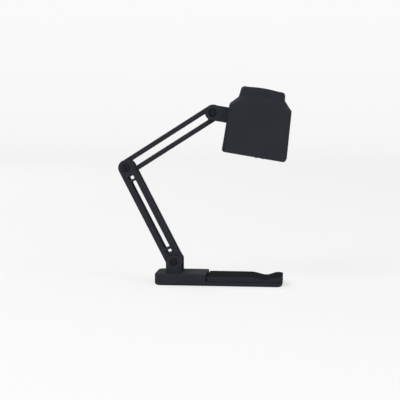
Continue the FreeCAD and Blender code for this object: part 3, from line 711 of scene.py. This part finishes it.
def tip_wall():
    """Point = path centre + (corner radius - depth) * outward way, for four (depth, height) corners."""
    centre, way = wall_path()
    depth = np.array((WALL_INSET, WALL_INSET, WALL_THICKNESS, WALL_THICKNESS))
    at_top = np.array((False, True, True, False))
    plan = centre[:, None] + (JAW_CORNER - depth)[None, :, None] * way[:, None]
    foot = lower_jaw_top + WALL_CLEARANCE
    top = plate_underside(plan[..., 0]) + WALL_TUCK
    height = np.where(at_top, top, foot)
    points = np.concatenate((plan, height[..., None]), -1).reshape(-1, 3)
    section = np.arange(len(depth))
    ends = np.stack((section[::-1], section + len(points) - len(depth)))
    return points, np.concatenate((grid_faces(len(way), len(depth)), ends))


print("the wall's path has", len(wall_path()[0]), "steps")

# %% Jaw tip walls
MIRROR = (1, -1, 1)

near_points, near_faces = tip_wall()
far_points = near_points * MIRROR
points = np.concatenate((near_points, far_points))
faces = np.concatenate((near_faces[:, ::-1], near_faces + len(near_points)))
jaw_tip_walls = smooth_object("jaw_tip_walls", points, faces, finishes["jaw_skin"])
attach(jaw_tip_walls, "jaw")
print("jaw tip walls:", len(jaw_tip_walls.data.polygons), "faces")

# %% [markdown]
# ## A floor that turns into a backdrop
# A studio sweep is one sheet: flat under the lamp, then curving up behind it with no line between.
# A straight sheet shows its edge from the sides, so this one is a wide bowl: a floor, a quarter circle
# and a low wall, turned about the upright axis with the function that made the cups. The sheet is pale,
# and for the camera and for mirrors it reads as white, the more so towards the wall, where less light
# falls. Near the lamp it still takes a shadow.

# %% Profile of the bowl
BOWL_RADIUS = 3.0
BOWL_BEND = 0.8
BOWL_TOP = 1.3
BOWL_STEPS = 24


def bowl_profile():
    """Radius and height: the middle, a quarter circle of the bend's radius, the top of the wall."""
    angle = np.linspace(0, np.pi / 2, BOWL_STEPS)
    radius = BOWL_RADIUS - BOWL_BEND + BOWL_BEND * np.sin(angle)
    height = BOWL_BEND - BOWL_BEND * np.cos(angle)
    return np.column_stack((np.r_[0.0, radius, BOWL_RADIUS], np.r_[0.0, height, BOWL_TOP]))


print("bowl profile:", len(bowl_profile()), "points")

# %% Paper that reads as white
PAPER_DRIFT = 0.3
PAPER_DARK = (0.88, 0.88, 0.88)
PAPER_LIGHT = (0.92, 0.92, 0.92)
WHITENESS_NEAR = 0.6
WHITENESS_FAR = 0.92
WHITE = (1.0, 1.0, 1.0, OPAQUE)
SHARP_RAYS = ("Is Camera Ray", "Is Glossy Ray", "Is Transmission Ray")


def seen_directly(place):
    """1 for rays from the camera and for mirrored and refracted rays, 0 for the light that bounces."""
    return sum(place.node("ShaderNodeLightPath", {}, {}, name) for name in SHARP_RAYS)


sweep_paper, shader, place = new_finish("pale sweep", {"Roughness": 0.9, "Specular IOR Level": 0.1})
feed(shader, {"Base Color": blend(noise(place, PAPER_DRIFT), PAPER_DARK, PAPER_LIGHT)})
surface = Value(place.tree, shader.outputs["BSDF"])
glow = place.node("ShaderNodeEmission", {}, {"Color": WHITE})
far = place.maths("MINIMUM", length(place) * (1 / BOWL_RADIUS), 1.0)
whiteness = between(far, WHITENESS_NEAR, WHITENESS_FAR) * seen_directly(place)
shown = place.node("ShaderNodeMixShader", {}, {0: whiteness, 1: surface, 2: glow})
feed(place.tree.nodes["Material Output"], {"Surface": shown})
print("made", sweep_paper.name)

# %% Turn the bowl
BOWL_AROUND = 96
UPRIGHT = (0.0, 0.0, 1.0)

points, faces = turned(bowl_profile(), np.zeros(3), UPRIGHT, BOWL_AROUND)
studio_sweep = smooth_object("studio_sweep", points, faces, sweep_paper)
print("sweep:", len(studio_sweep.data.polygons), "faces")

# %% [markdown]
# ## Soft studio light
# Black plastic shows its shape by what it reflects, so the lamps are large and soft: a key above and
# to the left, a fill from the right and one behind on the left that draws the edges. A pale world
# lifts the shadows.

# %% Lamps
LAMP_SIZE = 0.9
LAMP_TARGET = Vector((-0.012, 0.0, 0.055))


def soft_lamp(name, place, power):
    """Square area lamp at a place, turned to the middle of the reading lamp."""
    data = bpy.data.lights.new(name, "AREA")
    data.size = LAMP_SIZE
    data.energy = power
    lamp = bpy.data.objects.new(name, data)
    lamp.location = place
    lamp.rotation_euler = (LAMP_TARGET - Vector(place)).to_track_quat("-Z", "Y").to_euler()
    bpy.context.scene.collection.objects.link(lamp)
    return lamp


lamps = [
    soft_lamp("key lamp", place=(-0.7, -0.9, 1.1), power=12.0),
    soft_lamp("fill lamp", place=(1.1, -0.7, 0.6), power=6.0),
    soft_lamp("back lamp", place=(-0.9, 0.9, 0.9), power=5.0)]
print("lamps:", [lamp.name for lamp in lamps])

# %% Pale world
WORLD_LIGHT = 0.4
WORLD_SEEN = 0.9

world = bpy.data.worlds.new("studio world")
bpy.context.scene.world = world
world.use_nodes = True
background = world.node_tree.nodes["Background"]
background.inputs["Color"].default_value = WHITE
sky = Value(world.node_tree, background.outputs["Background"])
feed(background, {"Strength": between(seen_directly(sky), WORLD_LIGHT, WORLD_SEEN)})
print("world:", world.name)

# %% [markdown]
# ## Camera
# The picture was taken from a little above and a little to the right of the lamp's side, from
# about arm's length. A long lens keeps the far arm plate almost as large as the near one.

# %% Camera at the photograph's place
CAMERA_AZIMUTH = math.radians(6.0)
CAMERA_ELEVATION = math.radians(5.0)
CAMERA_DISTANCE = 0.65
FRAME_WIDTH = 0.252
SENSOR_WIDTH = 36.0
AIM = Vector((-0.0123, 0.0, 0.0528))

camera_data = bpy.data.cameras.new("camera")
camera_data.sensor_width = SENSOR_WIDTH
camera_data.lens = SENSOR_WIDTH * CAMERA_DISTANCE / FRAME_WIDTH
camera = bpy.data.objects.new("camera", camera_data)
level = math.cos(CAMERA_ELEVATION)
back = Vector((
    math.sin(CAMERA_AZIMUTH) * level, -math.cos(CAMERA_AZIMUTH) * level, math.sin(CAMERA_ELEVATION)))
camera.location = AIM + back * CAMERA_DISTANCE
camera.rotation_euler = back.to_track_quat("Z", "Y").to_euler()
bpy.context.scene.collection.objects.link(camera)
bpy.context.scene.camera = camera
bpy.context.scene.view_settings.view_transform = "Standard"
print("camera at", tuple(round(n, 3) for n in camera.location), "lens", round(camera_data.lens, 1))
